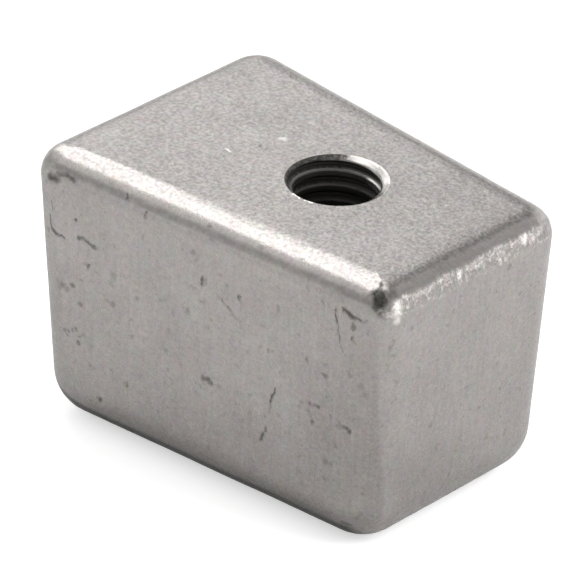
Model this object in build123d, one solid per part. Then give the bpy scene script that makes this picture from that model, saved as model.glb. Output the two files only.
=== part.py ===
from build123d import *
from math import radians, tan, sqrt
import os

# Sacrificial anode: a small block cast in one piece, then drilled, countersunk and tapped from above.
# X runs from the wide end to the narrow end and Z is up. The origin is under the middle of the block.

# ---- driving dimensions, mm and degrees ----
length = 42.4             # end to end at the top, before the edges are rounded
width_wide = 31.2         # across the wide end, before rounding
width_narrow = 24.2       # across the narrow end, before rounding
height = 27.9
end_draft = 2.5           # lean of the two end faces, inwards going down
top_round = 2.7           # rounding of the edges around the top
bottom_round = 4.7        # rounding of the edges around the base
corner_top = 3.2          # upright corners, where they reach the top
corner_ease = 0.2         # how much the corners at the base exceed the rounding there

hole_x = 3.1              # centre of the hole, from the block's middle towards the narrow end
hole_y = 0.8              # and sideways from the long centre line
thread_major = 9.525      # 3/8 inch, across the thread's roots
thread_pitch = 1.5875     # 16 threads to the inch
thread_share = 0.68       # share of a full thread that the tapping drill leaves
thread_turns = 8          # full turns below the face
mouth_ease = 0.04         # the countersink's rim past the thread's outer radius
mouth_angle = 118.0       # included angle of the countersink
drill_reach = 3.2         # plain bore left below the last turn
drill_point = 118.0       # included angle of the hole's pointed end

# ---- sizes that follow from them ----
corner_bottom = bottom_round + corner_ease
full_thread = thread_pitch * sqrt(3) / 2 * 3 / 4      # depth of a thread cut to the full, one side
bore_radius = thread_major / 2 - full_thread * thread_share
mouth_radius = thread_major / 2 + mouth_ease
mouth_depth = (mouth_radius - bore_radius) / tan(radians(mouth_angle / 2))
bore_depth = thread_turns * thread_pitch + drill_reach
point_depth = bore_radius / tan(radians(drill_point / 2))


def outline(drop, corner):
    """The block's plan at a depth below the top: a trapezium, its corners rounded."""
    half = length / 2 - drop * tan(radians(end_draft))
    slope = (width_wide - width_narrow) / 2 / length
    wide, narrow = (width_wide / 2 - slope * (length / 2 + x) for x in (-half, half))
    plan = Polyline((-half, -wide), (half, -narrow), (half, narrow), (-half, wide), close=True)
    plan = Wire(plan.edges())
    return Pos(0, 0, height - drop) * plan.fillet_2d(corner, plan.vertices())


# ---- the casting ----
# The plan at the base and the plan at the top are joined edge by edge. The sides and ends are flat,
# and each upright corner is a cone that opens out towards the larger rounding of the base.
def wall(low, high):
    """The face between an edge of the base and the edge above it."""
    if low.geom_type == GeomType.LINE:
        return Face(Wire.make_polygon([low @ 0, low @ 1, high @ 1, high @ 0], close=True))
    return Face.make_surface_from_curves(low, high)


base, top = outline(height, corner_bottom), outline(0, corner_top)
walls = [wall(low, high) for low, high in zip(base.edges(), top.edges())]
block = Solid(Shell([Face(base), Face(top), *walls]))
block = block.fillet(top_round, block.faces().sort_by(Axis.Z)[-1].edges())
block = block.fillet(bottom_round, block.faces().sort_by(Axis.Z)[0].edges())

# ---- the hole: half of its section, turned about its own axis ----
section = Polyline(
    (0, 0),
    (mouth_radius, 0),
    (bore_radius, -mouth_depth),
    (bore_radius, -bore_depth),
    (0, -bore_depth - point_depth),
    close=True,
)
hole = Pos(hole_x, hole_y, height) * revolve(make_face(Plane.XZ * section), Axis.Z)
anode = Part() + block - hole

print("solids", len(anode.solids()), "faces", len(anode.faces()), "volume", round(anode.volume, 1))
os.makedirs("parts", exist_ok=True)
export_step(anode.solid(), "parts/anode.step")
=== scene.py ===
# %% [markdown]
# # A sacrificial anode: one small casting with one tapped hole
# A sacrificial anode is a lump of cheap, willing metal bolted under a boat. Sea water eats it instead
# of the propeller. This one is poured in a mould, so its faces lean a little and every edge is round,
# and then it is drilled and tapped from above for a bolt.
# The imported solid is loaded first, as a fixed frame. It has the true size, and its bore is plain. The
# lesson builds a finer skin in its place: the same block, with its thread, its worn corner and its
# cast surface. Lengths are written in millimetres and become metres when the mesh is made.
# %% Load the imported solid
import math

import bpy
import numpy as np
from mathutils import Matrix, Quaternion, Vector, noise


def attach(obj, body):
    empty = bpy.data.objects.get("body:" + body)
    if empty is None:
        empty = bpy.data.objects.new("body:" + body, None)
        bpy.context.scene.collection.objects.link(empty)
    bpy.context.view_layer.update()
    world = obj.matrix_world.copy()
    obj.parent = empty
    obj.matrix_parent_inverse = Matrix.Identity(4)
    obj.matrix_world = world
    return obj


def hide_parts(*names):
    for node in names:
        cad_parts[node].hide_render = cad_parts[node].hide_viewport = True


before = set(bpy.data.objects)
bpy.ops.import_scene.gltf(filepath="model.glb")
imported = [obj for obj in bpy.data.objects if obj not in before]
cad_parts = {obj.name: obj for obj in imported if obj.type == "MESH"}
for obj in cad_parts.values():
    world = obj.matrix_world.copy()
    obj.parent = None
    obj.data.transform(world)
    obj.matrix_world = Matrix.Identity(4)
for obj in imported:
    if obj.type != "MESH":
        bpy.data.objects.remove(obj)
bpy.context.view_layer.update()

MM = 0.001

# %% [markdown]
# ## The block's plan
# Seen from above the block is a trapezium with rounded corners. A modeller could start from a cube and
# bevel it, but then the flow of the mesh is hard to steer. Here the block is a stack of closed rings
# instead, like the contour lines of a hill. Every ring has the same number of points, so two
# neighbours are always joined by a neat band of quads.
# A point of a ring lies on a column. A column has a place along the loop of the four corners'
# centres, and a direction in which it stands off from that loop by the corner's radius.
# %% Sizes of the block
length, height = 42.4, 27.9
width_wide, width_narrow = 31.2, 24.2
end_draft = math.radians(2.5)
top_round, bottom_round = 2.7, 4.7
corner_top, corner_bottom = 3.2, 5.05
flare = (width_wide - width_narrow) / 2 / length
side_angle = math.atan2(1, flare)       # the way a long side faces, from the block's length
print("each long side runs in by", round(math.degrees(math.atan(flare)), 2), "degrees")

# %% Columns round the block
steps_round = 24                        # at each upright corner
steps_along = (132, 84, 60, 108)        # narrow end, far side, wide end, near side

def columns():
    """(corner, share of the way to the next corner, direction) of each column, counterclockwise."""
    faces = [-side_angle, 0, side_angle, math.pi, 2 * math.pi - side_angle]
    for k in range(4):
        for i in range(steps_round):
            yield k, 0.0, faces[k] + (faces[k + 1] - faces[k]) * i / steps_round
        for i in range(steps_along[k]):
            yield k, i / steps_along[k], faces[k + 1]

corner_of, share_of, facing = (np.array(list(v)) for v in zip(*columns()))
away = np.stack([np.cos(facing), np.sin(facing)], 1)
around = len(facing)
print(around, "columns")

# %% The plan at any depth below the top
def plan(drop, inset=0.0):
    """The plan at a depth below the top, moved inwards, one point for each column."""
    radius = corner_top + (corner_bottom - corner_top) * drop / height
    x = length / 2 - drop * math.tan(end_draft) - radius
    y = [width_wide / 2 - flare * (length / 2 + e) - radius * math.hypot(1, flare) for e in (x, -x)]
    centres = np.array([(x, -y[0]), (x, y[0]), (-x, y[1]), (-x, -y[1])])
    start, end = centres[corner_of], centres[(corner_of + 1) % 4]
    inset = np.broadcast_to(inset, (around,))
    return start + (end - start) * share_of[:, None] + away * (radius - inset)[:, None]

lean = np.arctan(((plan(0) - plan(height)) * away).sum(1) / height)
print("the walls lean by up to", round(math.degrees(lean.max()), 2), "degrees")

# %% [markdown]
# ## Rings from the mouth of the hole to the middle of the base
# A rounded edge is what a ball leaves when it rolls along the inside of the edge. The ball's centre
# runs on one more ring, and the rounding is a set of arcs about it. Between the two roundings the wall
# is straight. On top the rings change from the block's outline into the circle of the hole's mouth, so
# that the quads end exactly on the rim and no cut is needed.
# %% Sizes of the hole
hole = np.array([3.1, 0.8])
thread_major, pitch = 9.525, 1.5875     # a 3/8 inch thread with 16 turns to the inch
thread_share = 0.68                     # how full the thread is cut
thread_depth = pitch * math.sqrt(3) / 2 * 3 / 4 * thread_share
bore_radius = thread_major / 2 - thread_depth
mouth_radius = thread_major / 2 + 0.04
bore_depth, thread_end = 15.9, 14.2
drill_point = sink_angle = math.radians(118)
sink_slope = math.tan(sink_angle / 2)   # the countersink's rise outwards for each mm of depth
print("the thread is", round(thread_depth, 2), "mm deep in a bore", round(2 * bore_radius, 2), "mm wide")

# %% Rings over the two roundings, each with its points and the way its surface faces
def ring(flat, z, tilt):
    """Points at one height with their outward directions; tilt turns them up from level."""
    up = np.broadcast_to(np.sin(tilt), (around,))
    level = away * np.broadcast_to(np.cos(tilt), (around,))[:, None]
    points = np.column_stack([flat, np.broadcast_to(z, (around,))])
    return points, np.column_stack([level, up])

def rounding(radius, centre_drop, tilts):
    """Arcs of one radius about a ring of centres."""
    centre = plan(centre_drop, radius / np.cos(lean))
    for tilt in tilts:
        reach = away * (radius * np.cos(tilt))[:, None]
        yield ring(centre + reach, height - centre_drop + radius * np.sin(tilt), tilt)

quarter = np.pi / 2
top_tilts = [quarter + (-lean - quarter) * t for t in np.linspace(0, 1, 15)]
base_tilts = [-lean + (lean - quarter) * t for t in np.linspace(0, 1, 13)]
top_edge = list(rounding(top_round, top_round, top_tilts))
base_edge = list(rounding(bottom_round, height - bottom_round, base_tilts))
print(len(top_edge), "rings in the top rounding and", len(base_edge), "in the bottom one")

# %% Rings over the top, down the walls and across the base
rim_gap = 0.07                          # from the mouth to the first ring round it
outline = top_edge[0][0][:, :2]         # where the flat top ends
bearing = np.unwrap(np.arctan2(*(outline - hole).T[::-1]))
rim = hole + (mouth_radius + rim_gap) * np.stack([np.cos(bearing), np.sin(bearing)], 1)
face_steps = np.linspace(0, 1, 44, endpoint=False)
face_steps = face_steps - 0.13 * np.sin(2 * np.pi * face_steps)          # closest at both ends
face_rings = [ring(rim + (outline - rim) * t, height, quarter) for t in face_steps]
wall_rings = [tuple(a + (b - a) * t for a, b in zip(top_edge[-1], base_edge[0]))
              for t in np.linspace(0, 1, 55)[1:-1]]
base_outline = base_edge[-1][0][:, :2]
base_rings = [ring(base_outline * (1 - t), 0.0, -quarter) for t in (0.03, 0.1, 0.2, 0.35, 0.5, 0.7, 0.88)]
rings = face_rings + top_edge + wall_rings + base_edge + base_rings
skin = np.concatenate([p for p, _ in rings])
skin_out = np.concatenate([n for _, n in rings])
print(len(rings), "rings,", len(skin), "points")

# %% [markdown]
# ## Unevenness that the eye can follow
# A cast block is never quite flat, and its edges are the roughest places, because that is where the
# two halves of a mould meet and where blocks knock together in a box. What is wider than a few tenths
# of a millimetre is moved here, in the mesh, so that it also shows in the outline. Finer grain is left
# to the material. Everything is pressed inwards, and so the block never outgrows its true size.
# %% Noise at points
def bumps(points, size, seed=0.0):
    """Smooth noise from 0 to 1 at each point; size is the width of a bump, one number or one per axis."""
    scaled = points / np.broadcast_to(size, (3,)) + seed
    return np.array([noise.noise(Vector(p)) for p in scaled]) * 0.5 + 0.5

def ramp(values, start, end):
    """0 before start and 1 after end, with soft ends."""
    t = np.clip((values - start) / (end - start), 0, 1)
    return t * t * (3 - 2 * t)

press = 0.05 * bumps(skin, 7.0) + 0.02 * bumps(skin, 1.6, 5.0)
print("the whole skin is uneven by", round(float(np.ptp(press)), 3), "mm")

# %% [markdown]
# ## Ripples, a crease and a knock
# Each edge has a story of its own. The narrow end's top edge is crossed by short ripples. The long
# edges end in a shallow ragged crease where they meet the side. The corner between the narrow end and
# the near side has been knocked in. Sculpting could make all this too, but a formula stays exact and
# can be changed later. Each story is a mask, which says where, times a depth in millimetres.
# %% Ripples and creases
tilt = np.degrees(np.arcsin(np.clip(skin_out[:, 2], -1, 1)))
narrow = ramp(skin_out[:, 0], 0.55, 0.9)
edge_band = ramp(tilt, 4, 18) * (1 - ramp(tilt, 34, 52))
side = 1 - ramp(np.abs(skin_out[:, 0]), 0.3, 0.6)
ripple = bumps(skin, (9.0, 0.32, 2.2), 11.0) * (0.35 + 0.65 * ramp(bumps(skin, 2.6, 3.0), 0.3, 0.7))
press += 0.22 * ripple * narrow * edge_band
crease = np.exp(-((tilt - 34 - 6 * bumps(skin, 2.0, 21.0)) / 5.0) ** 2)
press += 0.03 * crease * side * bumps(skin, 1.1, 17.0)
print("the ripples reach", round(float(press.max()), 2), "mm")

# %% The knocked corner
knock_at, across = np.array([19.35, -10.95, 26.95]), np.array([0.7, 0.71, 0.0])
knock_half_width, knock_half_length = 0.6, 1.3
from_knock = skin - knock_at
beside = from_knock @ across
beyond = (from_knock ** 2).sum(1) - beside ** 2
knock = np.exp(-(beside / knock_half_width) ** 2 - beyond / knock_half_length ** 2)
press += knock * (0.08 + 0.42 * bumps(skin, 0.5, 31.0))
print("the knock reaches", round(float(press.max()), 2), "mm")

# %% [markdown]
# ## Rubbed top edges and a crisp rim
# The top edges are rubbed soft. The near long one has lost most, and below it the side leans back by
# less than a degree. Round the hole the pressing fades out again, so that the rim stays crisp, as a
# countersink leaves it.
# %% Press the skin inwards
rubbed = 0.34                                    # what the near edge has lost
over = top_round * np.radians(90 - tilt)         # the way over the edge, from where the flat top ends
flat_ends = np.concatenate([np.hypot(*(outline - points[:, :2]).T) for points, _ in face_rings])
over[:len(flat_ends)] -= flat_ends
near = np.tile(ramp(-away[:, 1], 0.75, 0.98), len(rings))
press += near * rubbed * ramp(over, -2.1, 3.6) * np.minimum(skin[:, 2] / (height - 4), 1)
press += (1 - near) * 0.05 * np.exp(-((over - 0.4) / 0.8) ** 2)
from_rim = np.hypot(*(skin[:, :2] - hole).T) - mouth_radius
at_rim = np.exp(-(from_rim / 1.3) ** 2) * (skin[:, 2] > height - 0.5)
press *= 1 - at_rim * (1.1 - 0.5 * bumps(skin, 0.35, 47.0))
skin = skin - skin_out * press[:, None]
print("pressed in by up to", round(float(press.max()), 2), "mm")

# %% [markdown]
# ## The threaded bore
# A thread is a groove that climbs round the bore like a spiral stair, one pitch for each turn. It
# could be cut with a boolean from a swept profile, but that leaves ragged triangles. The bore is drawn
# as a sheared grid instead: every row climbs with the thread, and after one turn it meets the row one
# pitch above it. So the crests of the thread lie exactly on rows and stay sharp. Rows that would rise
# past the rim, or sink past the end of the thread, are gathered onto a level ring.
# The mouth is countersunk, which takes the thread away where the cone is wider than the groove.
# %% How far the bore's wall is from its axis
rows_a_turn = 16
row_step = pitch / rows_a_turn
stair = np.append(bearing[::3], bearing[0] + 2 * math.pi)
bore_around = len(stair) - 1
crest_depth, crest_angle = 1.60, math.radians(132.6)     # one crest, for the thread's place in the hole
thread_gone = thread_end - 1.2                           # where the thread has run out
root_half = 1 / 16                                       # this and the next two are shares of the pitch
flank = thread_depth * math.tan(math.radians(30)) / pitch
crest_half = 0.5 - root_half - flank
row_shift = (crest_half + crest_depth / pitch + (crest_angle - stair[0]) / 2 / math.pi) * rows_a_turn % 1

def wall_radius(depth, angle):
    """The wall's distance from the axis, at a depth below the face."""
    crest = crest_depth - pitch * (angle - crest_angle) / (2 * math.pi)
    phase = abs(((depth - crest) / pitch + 0.5) % 1 - 0.5)
    cut = min(max((phase - crest_half) / flank, 0), 1)
    fade = min(max((thread_gone - depth) / pitch, 0), 1)
    return max(bore_radius + thread_depth * cut * fade, mouth_radius - depth * sink_slope)

print("the crests are flat over", round(2 * crest_half * pitch, 2), "mm of each pitch")

# %% Points of the bore
first_bore = len(skin) + 1              # after the skin's points and the middle of the base
bore, grid = [], {}

def add_bore(depth, angle, radius):
    """Adds a point of the bore and gives its number in the mesh."""
    bore.append((hole[0] + radius * math.cos(angle), hole[1] + radius * math.sin(angle), height - depth))
    return first_bore + len(bore) - 1

mouth = [add_bore(0, a, mouth_radius) for a in stair[:-1]]
foot = [add_bore(thread_end, a, bore_radius) for a in stair[:-1]]

def bore_point(row, column):
    """The grid's point; the column after the last is the first, one turn further up."""
    if column == bore_around:
        row, column = row - rows_a_turn, 0
    depth = (row + row_shift) * row_step - pitch * (stair[column] - stair[0]) / (2 * math.pi)
    if depth < row_step / 4:
        return mouth[column]
    if depth > thread_end - row_step / 4:
        return foot[column]
    if (row, column) not in grid:
        grid[row, column] = add_bore(depth, stair[column], wall_radius(depth, stair[column]))
    return grid[row, column]

print(bore_around, "columns in the bore")

# %% Faces of the thread
faces = []

def add_face(*corners):
    """A face without its repeated corners, unless too few are left."""
    kept = [c for i, c in enumerate(corners) if c != corners[i - 1]]
    if len(set(kept)) >= 3:
        faces.append(kept)

last_row = math.ceil((thread_end + pitch) / row_step)
for row in range(-1, last_row):
    for c in range(bore_around):
        add_face(bore_point(row + 1, c), bore_point(row, c),
                 bore_point(row, c + 1), bore_point(row + 1, c + 1))
print(len(faces), "faces in the thread")

# %% The plain end of the bore, and the point that the drill left
point_depth = bore_radius / math.tan(drill_point / 2)
upper = foot
for depth, radius in ((bore_depth, bore_radius), (bore_depth + point_depth / 2, bore_radius / 2)):
    lower = [add_bore(depth, a, radius) for a in stair[:-1]]
    for c in range(bore_around):
        d = (c + 1) % bore_around
        add_face(lower[c], upper[c], upper[d], lower[d])
    upper = lower
tip = add_bore(bore_depth + point_depth, 0, 0)
for c in range(bore_around):
    add_face(tip, upper[c], upper[(c + 1) % bore_around])
print(len(faces), "faces in the whole bore")

# %% [markdown]
# ## One closed mesh
# The bore has one column for every three of the skin, because a small circle needs fewer. The first
# ring of the skin takes up the difference with two triangles and a quad at each of the bore's
# columns. The middle of the base is one point with a fan round it. Then the piece takes the packed
# node's place: it rides on the same body.
# %% Join the skin, the rim and the base
for c in range(bore_around):
    a, b = mouth[c], mouth[(c + 1) % bore_around]
    outer = [(3 * c + i) % around for i in range(4)]
    faces += [(a, outer[0], outer[1]), (a, outer[1], outer[2], b), (b, outer[2], outer[3])]
for r in range(len(rings) - 1):
    for c in range(around):
        d = (c + 1) % around
        faces.append((r * around + c, (r + 1) * around + c, (r + 1) * around + d, r * around + d))
middle, last = len(skin), (len(rings) - 1) * around
faces += [(last + c, middle, last + (c + 1) % around) for c in range(around)]

# %% The casting
base_middle = (0, 0, 0.03)
points = np.vstack([skin, [base_middle], bore]) * MM
mesh = bpy.data.meshes.new("anode_casting")
mesh.from_pydata(points.tolist(), [], faces)
mesh.validate()
mesh.shade_smooth()
casting = bpy.data.objects.new("anode_casting", mesh)
bpy.context.scene.collection.objects.link(casting)
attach(casting, "root")
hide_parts("anode")
print(sum(len(p.vertices) - 2 for p in mesh.polygons), "triangles in the casting")

# %% [markdown]
# ## Writing a material as sums
# A material is a graph of nodes, and a long formula soon becomes a web. A small class keeps it
# readable: it holds one socket, and adding or multiplying two of them puts the right node in the
# graph. Numbers get Math nodes, vectors get Vector Math nodes, and colours are mixed.
# %% A socket that can be added and multiplied
class Field:
    """A value that changes over the surface, held as the output socket of a node."""
    def __init__(self, socket):
        self.socket = socket

    def node(self, kind, settings=None, inputs=None, output=0):
        return node(self.socket.id_data, kind, settings, inputs, output)

    def math(self, operation, *values):
        vector = any(isinstance(v, tuple) or isinstance(v, Field) and v.socket.type == "VECTOR"
                     for v in values)
        kind = "ShaderNodeVectorMath" if vector else "ShaderNodeMath"
        numeric = operation in ("DOT_PRODUCT", "LENGTH", "DISTANCE")
        return self.node(kind, {"operation": operation}, dict(enumerate(values)), 1 if numeric else 0)

    def towards(self, direction):
        """How far this vector reaches in a direction."""
        return self.math("DOT_PRODUCT", self, direction)

    def __add__(self, other): return self.math("ADD", self, other)
    def __radd__(self, other): return self.math("ADD", other, self)
    def __sub__(self, other): return self.math("SUBTRACT", self, other)
    def __rsub__(self, other): return self.math("SUBTRACT", other, self)
    def __mul__(self, other): return self.math("MULTIPLY", self, other)
    def __rmul__(self, other): return self.math("MULTIPLY", other, self)

def node(tree, kind, settings=None, inputs=None, output=0):
    """Adds a node: its settings first, then a value or a link for each named socket."""
    made = tree.nodes.new(kind)
    for name, value in (settings or {}).items():
        setattr(made, name, value)
    for name, value in (inputs or {}).items():
        socket = made.inputs[name]
        if isinstance(value, Field):
            tree.links.new(value.socket, socket)
        elif socket.type == "VECTOR" and not isinstance(value, tuple):
            socket.default_value = (value,) * 3
        elif socket.type == "RGBA":
            socket.default_value = (*value, 1.0)[:4]
        else:
            socket.default_value = value
    return Field(made.outputs[output]) if made.outputs else made

# %% Helpers for a surface
def smooth(value, start, end, low=0.0, high=1.0):
    """A soft step from low, where the value is at start, to high, where it is at end."""
    return value.node("ShaderNodeMapRange", {"interpolation_type": "SMOOTHSTEP", "clamp": False},
                      {"Value": value, "From Min": start, "From Max": end, "To Min": low, "To Max": high})

def grain(place, scale, detail=2.0, rough=0.5, output=0):
    """Noise from 0 to 1, or a random colour as output 1; scale is in bumps to a millimetre."""
    return place.node("ShaderNodeTexNoise", {"noise_dimensions": "3D"},
                      {"Vector": place, "Scale": scale, "Detail": detail, "Roughness": rough}, output)

def blend(share, low, high):
    """A colour between two colours."""
    return share.node("ShaderNodeMix", {"data_type": "RGBA"}, {0: share, 6: low, 7: high}, 2)

def strongest(fields):
    """The highest of many values. Each is joined on as soon as it is made, to keep the graph short."""
    total = None
    for field in fields:
        total = field if total is None else total.math("MAXIMUM", total, field)
    return total

def new_material(name):
    material = bpy.data.materials.new(name)
    material.use_nodes = True
    material.node_tree.nodes.clear()
    return material, material.node_tree

# %% [markdown]
# ## Bare cast metal
# Fresh cast metal is grey and softly shiny. The top of this block has an even grain, like fine sand.
# The sides are smoother, with faint upright streaks from sliding out of the mould. All of it is one
# metal, so the differences are small changes of grey, of gloss and of relief. They depend on where a
# point is and on which way it faces, and nodes know both, so nothing has to be unwrapped.
# %% Places on the block
metal, tree = new_material("cast_metal")
place = node(tree, "ShaderNodeTexCoord", output=3) * (1 / MM)
low = place.towards((0.0, 0.0, 1.0))
along = place.towards((1.0, 0.0, 0.0))
normal = node(tree, "ShaderNodeNewGeometry", output=1)
up = normal.towards((0.0, 0.0, 1.0))
to_near = normal.towards((0.0, -1.0, 0.0))
top = smooth(up, 0.86, 0.985)
long_side = smooth(to_near * to_near, 0.2, 0.6)

# %% Places in the hole
from_hole = place - (*hole, 0.0)
from_axis = place.math("LENGTH", from_hole * (1.0, 1.0, 0.0))
to_left = from_hole.towards((-0.95 / mouth_radius, -0.3 / mouth_radius, 0.0))
machined = smooth(from_axis, mouth_radius + 0.04, mouth_radius - 0.04)

# %% Fine and coarse unevenness
speckle = grain(place, 2.7, 3.0, 0.65)
skin_grain = grain(place, 1.2, 3.0, 0.6)
mottle = grain(place, 0.16, 4.0, 0.6)
streaks = grain(place * (1.0, 1.0, 0.07), 2.3, 2.0, 0.5)
streaks = (streaks - 0.5) * (1 - top)
print(len(tree.nodes), "nodes for places and noise")

# %% [markdown]
# ## Scratches, dents and specks
# Every handled casting carries marks of its own. A mark is a short thick line, and what the material
# needs to know is how far a point of the surface is from that line. A speck is simpler, because only
# its middle counts. The place is first shaken a little with noise, so that no mark has a ruler's edge.
# Where each mark goes was picked by eye in the camera's picture, and a separate script then cast rays
# at the mesh to turn the picks into millimetres. The places in the list of specks were pasted in from
# that step, and this file can't work them out again. The other marks were typed in from what the same
# step measured. To move a mark, change its numbers here.
# %% Distance from a line and from a point
middle_grey = (0.5, 0.5, 0.5)
shaken = place + (grain(place, 1.5, 4.0, 0.7, output=1) - middle_grey) * 0.9

def mark(start, end, width, depth):
    """How strong a mark from start to end is, from 0 to depth."""
    a, b = np.array(start), np.array(end)
    run = b - a if np.any(b != a) else np.array((0.0, 0.0, 1e-3))
    from_start = shaken - tuple(a)
    share = from_start.towards(tuple(run / (run @ run)))
    share = share.math("MAXIMUM", share.math("MINIMUM", share, 1.0), 0.0)
    nearest = share.node("ShaderNodeVectorMath", {"operation": "SCALE"}, {0: tuple(run), 3: share})
    return smooth(from_start.math("LENGTH", from_start - nearest), width, 0.0, 0.0, depth)

def speck(centre, width, depth):
    """How strong a round speck is, from 0 to depth."""
    return smooth(shaken.math("DISTANCE", shaken, centre), 1.3 * width, 0.3 * width, 0.0, depth)

def on_side(x, z):
    """The point of the near side at a place along the block and a height."""
    return (x, rubbed * z / height - (width_wide / 2 - flare * (length / 2 + x)), z)

# %% Scratches on the near side: where each starts and ends, its width and its strength
scratches = [
    # high on the left, under the corner
    (-17.3, 20.0, -16.4, 19.9, 0.34, 1.0), (-14.6, 20.6, -13.9, 20.7, 0.34, 0.9),
    (-13.9, 20.7, -13.3, 20.5, 0.36, 1.0), (-13.3, 20.5, -12.6, 20.3, 0.4, 1.0),
    # a nick and a slanting scratch above the middle
    (0.1, 22.2, 0.1, 21.4, 0.28, 0.9), (1.7, 21.1, 2.5, 20.6, 0.22, 0.4),
    (2.5, 20.6, 3.4, 20.0, 0.26, 0.6), (3.4, 20.0, 4.1, 19.3, 0.24, 0.5),
    # the long broken one down the right half
    (8.9, 14.0, 8.5, 12.4, 0.26, 1.0), (8.5, 12.2, 8.3, 11.2, 0.22, 0.7),
    (8.0, 9.6, 7.8, 8.7, 0.26, 0.8), (7.8, 8.7, 7.5, 8.0, 0.34, 1.0),
    # an upright one and a hook, near the knocked corner
    (15.3, 24.8, 15.6, 23.2, 0.24, 0.9), (15.6, 23.2, 15.9, 21.7, 0.24, 0.8),
    (16.1, 21.4, 16.3, 20.8, 0.22, 0.6), (16.2, 25.2, 16.9, 24.9, 0.42, 1.0),
    (16.9, 24.9, 17.3, 24.7, 0.5, 1.0), (17.4, 24.7, 18.1, 24.8, 0.36, 0.9),
    (18.4, 24.7, 18.8, 25.0, 0.3, 0.6), (17.3, 24.0, 17.4, 23.6, 0.42, 0.9),
    (17.3, 22.6, 17.3, 22.6, 0.34, 0.9),
]

# %% Specks on the near side: place along the block, height, width and strength
# the two places are a separate script's output, and the width and strength were chosen by eye
specks = [
    # scattered under the upper left scratches
    (-13.4, 18.1, 0.3, 0.8), (-13.8, 18.1, 0.2, 0.4), (-17.1, 15.0, 0.35, 0.4), (-16.4, 14.9, 0.4, 0.5),
    (-15.9, 14.6, 0.35, 0.4), (-16.8, 14.4, 0.3, 0.4), (-15.2, 15.3, 0.28, 0.7), (-10.4, 18.2, 0.5, 0.3),
    (-10.6, 17.3, 0.4, 0.25), (-10.3, 15.2, 0.45, 0.4), (-10.9, 15.3, 0.35, 0.25), (-14.2, 13.7, 0.3, 0.6),
    # a few lone ones towards the middle
    (-7.5, 17.0, 0.25, 0.4), (-1.5, 18.0, 0.35, 0.5), (-2.0, 18.1, 0.25, 0.3), (4.3, 21.7, 0.3, 0.9),
    # rows of small ones low on the left
    (-16.0, 10.1, 0.25, 0.6), (-15.5, 10.2, 0.22, 0.6), (-15.1, 10.6, 0.22, 0.5), (-14.6, 10.8, 0.25, 0.6),
    (-15.8, 9.8, 0.22, 0.5), (-14.2, 10.2, 0.25, 0.5), (-13.8, 10.5, 0.22, 0.4), (-14.4, 9.5, 0.3, 0.8),
    (-16.9, 10.2, 0.22, 0.3), (-12.9, 7.6, 0.3, 0.4), (-12.4, 7.5, 0.25, 0.25), (-8.4, 7.3, 0.3, 0.8),
    (-8.8, 7.4, 0.2, 0.4), (-11.6, 4.5, 0.36, 0.9),
    # a smear below the middle
    (0.6, 11.7, 0.4, 0.7), (1.1, 11.7, 0.42, 0.9), (1.5, 11.6, 0.35, 0.8), (2.5, 11.6, 0.3, 0.35),
    # pairs above the long scratch and to the right of it
    (7.9, 17.6, 0.2, 0.5), (8.4, 17.7, 0.2, 0.35), (12.3, 18.4, 0.28, 0.6), (11.7, 18.8, 0.2, 0.3),
    (14.5, 17.6, 0.35, 0.7), (14.2, 17.7, 0.25, 0.5),
    # a dense patch beside the long scratch
    (12.0, 13.8, 0.25, 0.4), (11.8, 13.3, 0.22, 0.3), (12.9, 14.0, 0.24, 0.6), (12.5, 14.1, 0.2, 0.4),
    (13.3, 14.1, 0.22, 0.4), (13.9, 14.1, 0.3, 0.8), (13.6, 14.2, 0.22, 0.5), (12.7, 13.2, 0.25, 0.4),
    (13.0, 12.9, 0.25, 0.4), (13.2, 12.3, 0.3, 0.7), (13.0, 12.5, 0.22, 0.4),
    # a line towards the upright corner, and faint ones below it
    (15.3, 13.7, 0.25, 0.4), (16.1, 13.1, 0.3, 0.4), (16.8, 13.2, 0.3, 0.6), (17.1, 13.1, 0.3, 0.8),
    (17.4, 12.9, 0.3, 0.8), (16.0, 10.9, 0.3, 0.35), (15.0, 8.8, 0.35, 0.45), (15.6, 8.8, 0.3, 0.4),
    (14.9, 6.9, 0.3, 0.35), (12.1, 6.5, 0.3, 0.3), (12.4, 5.5, 0.3, 0.3),
    # on the upright corner
    (18.9, 17.2, 0.5, 0.35), (19.0, 16.0, 0.4, 0.5), (19.6, 16.2, 0.3, 0.3), (18.4, 18.0, 0.5, 0.3),
    # under the top edge
    (-14.9, 22.3, 0.26, 0.9), (-15.1, 23.0, 0.2, 0.35), (-12.1, 21.7, 0.2, 0.35), (-11.9, 22.1, 0.2, 0.3),
    (-11.5, 22.0, 0.2, 0.35), (-11.6, 21.6, 0.2, 0.3), (-1.1, 24.3, 0.35, 0.4),
]

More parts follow.
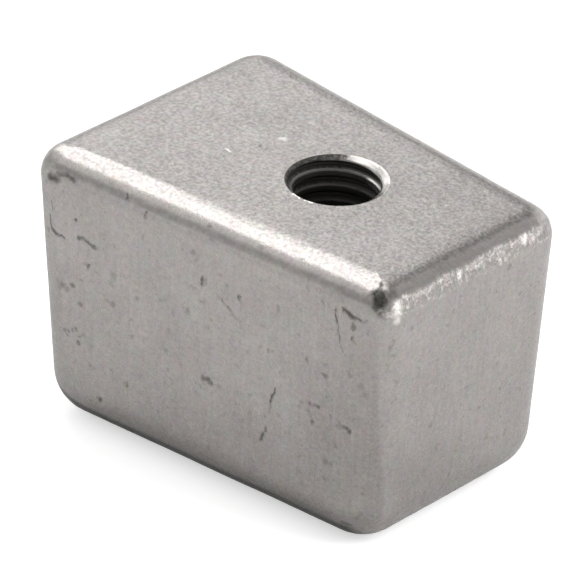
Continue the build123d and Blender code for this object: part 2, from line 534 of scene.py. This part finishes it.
# %% Marks on edges and corners, from one place in space to another
edge_marks = [
    # round the upright corner of the wide end
    ((-18.0, -14.9, 23.1), (-17.9, -14.9, 22.3), 0.22, 0.5),
    ((-18.3, -14.8, 21.4), (-18.2, -14.8, 20.7), 0.26, 0.9),
    ((-18.2, -14.8, 20.7), (-17.9, -14.9, 20.2), 0.3, 1.0),
    ((-17.9, -14.9, 20.2), (-17.3, -14.9, 20.0), 0.34, 1.0),
    # along the near top edge
    ((-18.3, -14.8, 25.5), (-17.4, -14.9, 25.6), 0.7, 1.0),
    ((-17.3, -14.7, 26.1), (-16.5, -14.5, 26.5), 0.5, 0.7),
    ((-16.4, -14.5, 26.3), (-15.4, -14.5, 26.2), 0.4, 0.9),
    ((-9.5, -13.7, 26.8), (-9.3, -13.8, 26.5), 0.35, 0.9),
    ((-9.1, -13.8, 26.6), (-8.8, -14.0, 25.8), 0.22, 0.5),
    ((-6.9, -13.8, 26.2), (-6.8, -14.0, 25.7), 0.24, 0.8),
    ((0.0, -12.6, 27.1), (0.0, -12.6, 27.1), 0.35, 0.7),
    ((13.5, -12.3, 26.6), (13.6, -12.3, 26.5), 0.35, 0.7),
    # at the foot of the narrow end's corner
    ((17.3, -11.6, 2.7), (16.9, -11.8, 2.9), 0.45, 0.9),
    ((18.5, -11.4, 4.4), (18.2, -11.5, 3.8), 0.4, 0.35),
    # round the knocked corner: a dark line, and painted shade that damps the lamp's reflection above the
    # knock
    ((19.0, -9.4, 27.7), (19.6, -9.6, 27.4), 0.7, 0.8),
    ((18.3, -9.7, 27.9), (19.2, -10.6, 27.5), 0.4, 1.0),
    ((19.4, -10.1, 27.5), (19.9, -10.0, 27.2), 0.9, 0.6),
]
marks = strongest([strongest(mark(on_side(a, b), on_side(c, d), w, s) for a, b, c, d, w, s in scratches),
                   strongest(speck(on_side(a, b), w, s) for a, b, w, s in specks),
                   strongest(mark(*line) for line in edge_marks)])
print(len(scratches), "scratches,", len(specks), "specks and", len(edge_marks), "marks on edges")

# %% Pits on top, the knocked corner, dirt and painted shade
pits = [(-6.8, -8.5), (-6.3, 0.2), (-5.1, 11.2), (6.6, -6.6), (11.2, 1.6), (14.9, 7.2), (18.5, 9.1)]
top_marks = strongest(mark((a, b, height), (a + 0.3, b, height), 0.22, 0.5) for a, b in pits)
to_knock = shaken - tuple(knock_at)
squeezed = to_knock - to_knock.towards(tuple(across)) * tuple(-0.9 * across)
knocked = smooth(place.math("LENGTH", squeezed), 1.75, 0.7)
# dark specks along the near edge, over a faint painted shade on the band where that edge reflects dark
seam_specks_and_shade = smooth(up, 0.42, 0.55) * smooth(up, 0.68, 0.57) * smooth(to_near, 0.5, 0.7)
seam_specks_and_shade = seam_specks_and_shade * smooth(skin_grain, 0.35, 0.6, 0.25, 1.0)
smudges = smooth(skin_grain, 0.6, 0.72) * (1 - top) * 0.3
# dirt, with some painted shade from the band along the near edge and from marks round the knock
dirt_and_painted_shade = strongest([marks * smooth(speckle, 0.3, 0.5, 0.5, 1.0), top_marks, smudges, seam_specks_and_shade * 0.35])
print(len(pits), "pits on top")

# %% [markdown]
# ## The grey of the skin
# One number runs the grey between two neighbouring tones. Noise makes it livelier on the sandy top
# than on the sides. Painted shade darkens it towards the foot of the long sides, and on the near side
# towards the narrow end. A faint random tint keeps it from looking like paint. Painted shade darkens
# the flat top, except along the near edge, and painted light brightens the far top edges. Dirt lies
# over all of this, most in the marks; the knocked corner is darkened too, and a dark line of painted
# shade runs where the near side turns under.
# %% Grey tones
dark_grey, light_grey = (0.27, 0.252, 0.241), (0.49, 0.463, 0.447)
# painted shade: the long sides darken towards the foot, and the near side towards the narrow end
shade_below = smooth(low, 5.0, 1.0) * smooth(along, -22.0, 18.0, 0.15, 0.9) * long_side
shade_end = smooth(along, 8.0, 19.0) * smooth(along, 20.0, 19.6)
shade_end = shade_end * smooth(to_near, 0.3, 0.5) * smooth(low, 24.0, 12.0, 0.12, 0.3)
grey = 0.5 + (mottle - 0.5) * 0.5 + (speckle - 0.5) * (0.9 + 2.0 * top) + streaks * 0.3
colour = blend(grey - shade_below - shade_end, dark_grey, light_grey)
tint = (grain(place, 0.9, output=1) - middle_grey) * 0.16 + (1.0, 1.0, 1.0)
colour = colour.math("MULTIPLY", colour, tint)

# %% Painted shade on top, painted light on the far edges, and dirt
# one dark colour for dirt and for painted shade
grime_and_shade_colour = (0.06, 0.058, 0.05)
# painted light: brightens the rounded top edges on the far side
painted_far_edge_light = smooth(up, 0.995, 0.97) * smooth(up, 0.6, 0.75) * smooth(to_near, 0.0, -0.15)
# painted shade: darkens the flat top and the start of its far and end edges, to tone down the lamp's
# reflection; it fades out along the near edge
painted_top_shade = smooth(up, 0.9, 0.985) * smooth(to_near, 0.105, 0.04) * 0.425
# painted shade on the flat top and painted light on the far edges, as one factor on the colour
painted_top_and_edge_light = 1 - painted_top_shade - top * 0.115 + painted_far_edge_light * 0.4
# painted shade: a dark line on the lower rounded edge, where the near side turns under
painted_contact_shade = smooth(up - smooth(along, -13.5, -18.0) * 0.25, -0.38, -0.56)
painted_contact_shade = painted_contact_shade * smooth(to_near, 0.1, 0.35) * smooth(along, 18.2, 16.6)
in_knock = knocked * smooth(speckle, 0.3, 0.6, 0.8, 1.0)
colour = blend(strongest([dirt_and_painted_shade * 0.85, painted_contact_shade, in_knock]), colour * painted_top_and_edge_light, grime_and_shade_colour)

# %% [markdown]
# ## Painted highlights and cut metal
# Nearly white highlights are painted into the colour where light would glance off: on the flank of the
# knock, on the ripples of the narrow end's edge, at one spot on top and along the rim of the hole. A
# short white line on top is a bright scratch. Inside the hole the metal was cut, so it is smooth, and
# painted shade darkens the thread's grooves, the deeper part of the hole and the left of the
# countersink. One crest of the thread gets a painted highlight.
# %% Painted highlights and a bright scratch
# nearly white, for painted highlights and one bright scratch
highlight_and_scratch_white = (0.95, 0.92, 0.87)
end_edge = smooth(up, 0.05, 0.2) * smooth(up, 0.62, 0.45) * smooth(normal.towards((1.0, 0.0, 0.0)), 0.35, 0.6)
fine = grain(place, 2.0, 1.0, 0.5)
# painted glints on the ripples of the narrow end's edge
glints = end_edge * (1 - machined) * smooth(up, 0.12, 0.3) * smooth(fine, 0.5, 0.68) * 0.34
highlight_and_scratch_marks = [
    # painted highlights on the flank of the knock
    ((20.4, -9.8, 26.5), (20.6, -10.0, 25.9), 0.8, 0.9),
    ((20.7, -10.0, 25.7), (20.8, -10.2, 25.0), 0.5, 0.6),
    # painted highlights along the rim of the hole
    ((2.1, -3.95, height), (3.0, -4.05, height), 0.2, 0.8),
    ((3.6, -4.03, height), (4.5, -3.85, height), 0.2, 0.7),
    # painted highlights on the narrow end's edge
    ((20.5, 6.9, 26.8), (20.65, 6.75, 26.35), 0.45, 0.8),
    ((20.6, -1.9, 26.7), (20.75, -2.0, 26.4), 0.5, 0.6),
    # the top: a painted glint, then a bright scratch
    ((-5.8, 2.7, height), (-5.5, 2.8, height), 0.55, 0.2),
    ((-7.95, -2.3, height), (-7.3, -2.5, height), 0.22, 0.3),
]
highlights_and_scratch = strongest([strongest(mark(*line) for line in highlight_and_scratch_marks), glints])
print(len(highlight_and_scratch_marks), "bright marks")

# %% Cut metal, with painted shade in the hole
# bare cut metal, and a dark grey for painted shade in the hole
bare_cut_metal, shaded_cut_metal = (0.37, 0.355, 0.34), (0.065, 0.063, 0.058)
below = height - low
on_cone = smooth(from_axis, bore_radius + 0.05, bore_radius + 0.3)
# painted shade in the hole: in the thread's grooves, deeper down, on the left of the countersink and on the
# crests away from the right side
in_groove = smooth(from_axis, bore_radius + 0.05, thread_major / 2 - 0.2) * smooth(below, 0.3, 0.7)
painted_cone_shade = smooth(to_left + (speckle - 0.5) * 0.6, 0.12, 0.4) * smooth(speckle, 0.3, 0.6, 0.72, 1.0)
painted_crest_shade = smooth(to_left, -0.45, -0.15) * (1 - on_cone) * 0.72
painted_hole_shade = strongest([in_groove, smooth(below, 1.0, 3.4), painted_cone_shade * on_cone, painted_crest_shade])
colour = blend(machined, colour, blend(painted_hole_shade, bare_cut_metal, shaded_cut_metal))
# painted highlight on the first crest of the thread, on one side of the hole
painted_crest_highlight = smooth(from_axis, bore_radius + 0.2, bore_radius + 0.08) * smooth(below, 2.4, 2.1)
painted_crest_highlight = painted_crest_highlight * smooth(to_left, -0.2, -0.35) * smooth(to_left, -0.72, -0.55) * 0.8
colour = blend(strongest([highlights_and_scratch, painted_crest_highlight * smooth(below, 0.5, 0.9)]), colour, highlight_and_scratch_white)

# %% [markdown]
# ## Gloss and relief
# Roughness says how blurred a reflection is: low where the metal was cut, higher under dirt and under painted
# shade, in the hole most of all.
# The relief goes through one Bump node and is a few hundredths of a millimetre deep. It is stronger on
# the sandy top, weak in the hole, and coarse along the narrow end's edge and beside the knock. A mesh
# fine enough for this would be huge, and a bump costs nothing.
# %% The finished metal
relief_depth = 0.028 * MM
gloss = 0.27 + top * 0.05 + (skin_grain - 0.5) * 0.2 + dirt_and_painted_shade * 0.3 + machined * (painted_hole_shade * 0.4 - 0.04)
ripples = fine * smooth(grain(place, 0.55, 1.0), 0.35, 0.6, 0.35, 1.25)
burr = smooth(place.math("DISTANCE", place, (20.25, -10.65, 26.2)), 0.9, 0.0)
relief = (skin_grain * 0.5 + speckle * (0.7 + 0.5 * top)) * (1 - machined * 0.7)
relief = relief + ripples * end_edge * 2.6 + burr * 5.0
bump = place.node("ShaderNodeBump", None, {"Strength": 1.0, "Distance": relief_depth, "Height": relief})
shader = place.node("ShaderNodeBsdfPrincipled", None,
                    {"Base Color": colour, "Metallic": 1.0, "Roughness": gloss, "Normal": bump,
                     "Specular Tint": (0.95, 0.95, 0.95)})
node(tree, "ShaderNodeOutputMaterial", None, {"Surface": shader})
casting.data.materials.append(metal)
print(len(tree.nodes), "nodes in the metal")

# %% [markdown]
# ## A plain pale floor
# The block stands on a pale matt floor. The camera sees the floor with a little light of its own
# added, so that it runs into the white behind it, while the block's soft shadow stays. The metal
# reflects the floor without that light.
# %% Floor
half = 3.0                              # in metres, well past what the camera sees
corners = [(-half, -half, 0), (half, -half, 0), (half, half, 0), (-half, half, 0)]
floor_mesh = bpy.data.meshes.new("floor")
floor_mesh.from_pydata(corners, [], [(0, 1, 2, 3)])
floor = bpy.data.objects.new("floor", floor_mesh)
bpy.context.scene.collection.objects.link(floor)
paper, paper_tree = new_material("floor_paper")
by_camera = node(paper_tree, "ShaderNodeLightPath", output=0)
matt = by_camera.node("ShaderNodeBsdfDiffuse", None, {"Color": (0.6, 0.6, 0.6)})
glow = by_camera.node("ShaderNodeEmission", None, {"Color": (1.0, 1.0, 1.0), "Strength": by_camera * 0.5})
both = by_camera.node("ShaderNodeAddShader", None, {0: matt, 1: glow})
node(paper_tree, "ShaderNodeOutputMaterial", None, {"Surface": both})
floor.data.materials.append(paper)
print("the floor is", 2 * half, "m wide")

# %% [markdown]
# ## A sky for metal to look at
# Bare metal shows its surroundings more than its own colour, so the sky decides how the block looks.
# The camera sees plain white. A reflection sees a sky of grey tones: brighter low down in front,
# behind and on the right, with a bright patch high on the left and a dark cap overhead. Each is a soft
# step on how far a ray reaches in one direction. Matt surfaces get one even level.
# %% Sky
world = bpy.data.worlds.new("sky")
bpy.context.scene.world = world
world.use_nodes = True
sky = world.node_tree
sky.nodes.clear()
rays = node(sky, "ShaderNodeLightPath")
path = rays.socket.node.outputs
plain = strongest([Field(path[n]) for n in ("Is Camera Ray", "Is Glossy Ray", "Is Transmission Ray")])
heading = node(sky, "ShaderNodeTexCoord", output=0)
overhead = heading.towards((0.0, 0.0, 1.0))
to_halo = heading.towards((-0.6, -0.35, 0.72))
to_front = heading.towards((-0.6, -0.8, 0.0))
to_back = heading.towards((-0.47, 0.88, 0.0))
to_right = heading.towards((0.7, 0.7, 0.0))

# %% How bright the sky is in each direction
on_matt = 1.10                          # the level that lights matt surfaces
shade = 0.66 + smooth(overhead, 0.42, 0.26) * smooth(to_front, 0.2, 0.7) * 0.3
shade = shade + smooth(to_halo, 0.91, 0.995) * 0.6
shade = shade + smooth(to_right, 0.4, 0.8) * smooth(overhead, 0.5, 0.3) * 0.2
shade = shade + smooth(to_back, 0.3, 0.8) * (smooth(overhead, 0.12, 0.34, 0.24, 0.0) + 0.1)
shade = shade * smooth(overhead, 0.93, 0.985, 1.0, 0.1)
seen = Field(path["Is Camera Ray"])
level = seen.math("MAXIMUM", seen, smooth(plain, 0.0, 1.0, on_matt, 0.0) + plain * shade)
back = rays.node("ShaderNodeBackground", None, {"Color": (1.0, 1.0, 1.0), "Strength": level})
node(sky, "ShaderNodeOutputWorld", None, {"Surface": back})
print(len(sky.nodes), "nodes in the sky")

# %% [markdown]
# ## Lamps
# One large soft lamp stands high up behind the block, a little to the left, and makes the bright line
# along the rounded edge. A narrow strip on the right brightens the narrow end. Neither lights the
# floor. Three more lamps light only the floor and never show as reflections: the sides of the block
# mirror the floor, so its brightness on each side becomes the brightness of the side above it.
# %% Lamps
def lamp(name, towards, distance, size, power, roll=0.0):
    """A soft rectangular lamp in a direction from the block, facing it."""
    light = bpy.data.lights.new(name, "AREA")
    light.shape, light.size, light.size_y, light.energy = "RECTANGLE", size[0], size[1], power
    made = bpy.data.objects.new(name, light)
    direction = Vector(towards).normalized()
    made.location = direction * distance + Vector((0, 0, height * MM / 2))
    made.rotation_euler = (direction.to_track_quat("Z", "Y") @ Quaternion((0, 0, 1), roll)).to_euler()
    bpy.context.scene.collection.objects.link(made)
    return made

key = lamp("key", (-0.562, 0.284, 0.802), 1.2, (0.88, 1.73), 12.2, math.radians(-12))
strip = lamp("strip", (0.74, 0.63, 0.28), 0.6, (0.5, 0.055), 0.19)
key.visible_diffuse = strip.visible_diffuse = False
floor_lamps = [("floor_right", (0.7, 0.35, 0.6), 2.6),
               ("floor_front", (-0.45, -0.75, 0.8), 0.6),
               ("floor_left", (-0.7, 0.6, 0.6), 1.3)]
for name, towards, power in floor_lamps:
    lamp(name, towards, 0.6, (0.35, 0.35), power).visible_glossy = False
print(2 + len(floor_lamps), "lamps")

# %% [markdown]
# ## The camera
# A long lens far away keeps the block's edges nearly parallel, as in a catalogue picture. The camera is
# set by the three directions of its frame: to its right, up, and back from what it looks at.
# %% Camera
azimuth, elevation, roll = (math.radians(v) for v in (42.74, 30.63, 1.85))
target, distance = Vector((-0.322, -1.081, 15.321)) * MM, 515.21 * MM
level_reach = math.cos(elevation)
behind = Vector((math.sin(azimuth) * level_reach, -math.cos(azimuth) * level_reach, math.sin(elevation)))
right = Vector((math.cos(azimuth), math.sin(azimuth), 0))
right.rotate(Matrix.Rotation(roll, 3, behind))
upward = behind.cross(right)
turn = Matrix((right, upward, behind)).transposed().to_4x4()
lens = bpy.data.cameras.new("camera")
lens.lens, lens.sensor_width = 343.95, 36.0
lens.clip_start, lens.clip_end = 0.01, 20.0
camera = bpy.data.objects.new("camera", lens)
camera.matrix_world = Matrix.Translation(target + behind * distance) @ turn
bpy.context.scene.collection.objects.link(camera)
bpy.context.scene.camera = camera
bpy.context.scene.view_settings.view_transform = "Standard"
print("camera", [round(v / MM, 1) for v in camera.location], "mm")
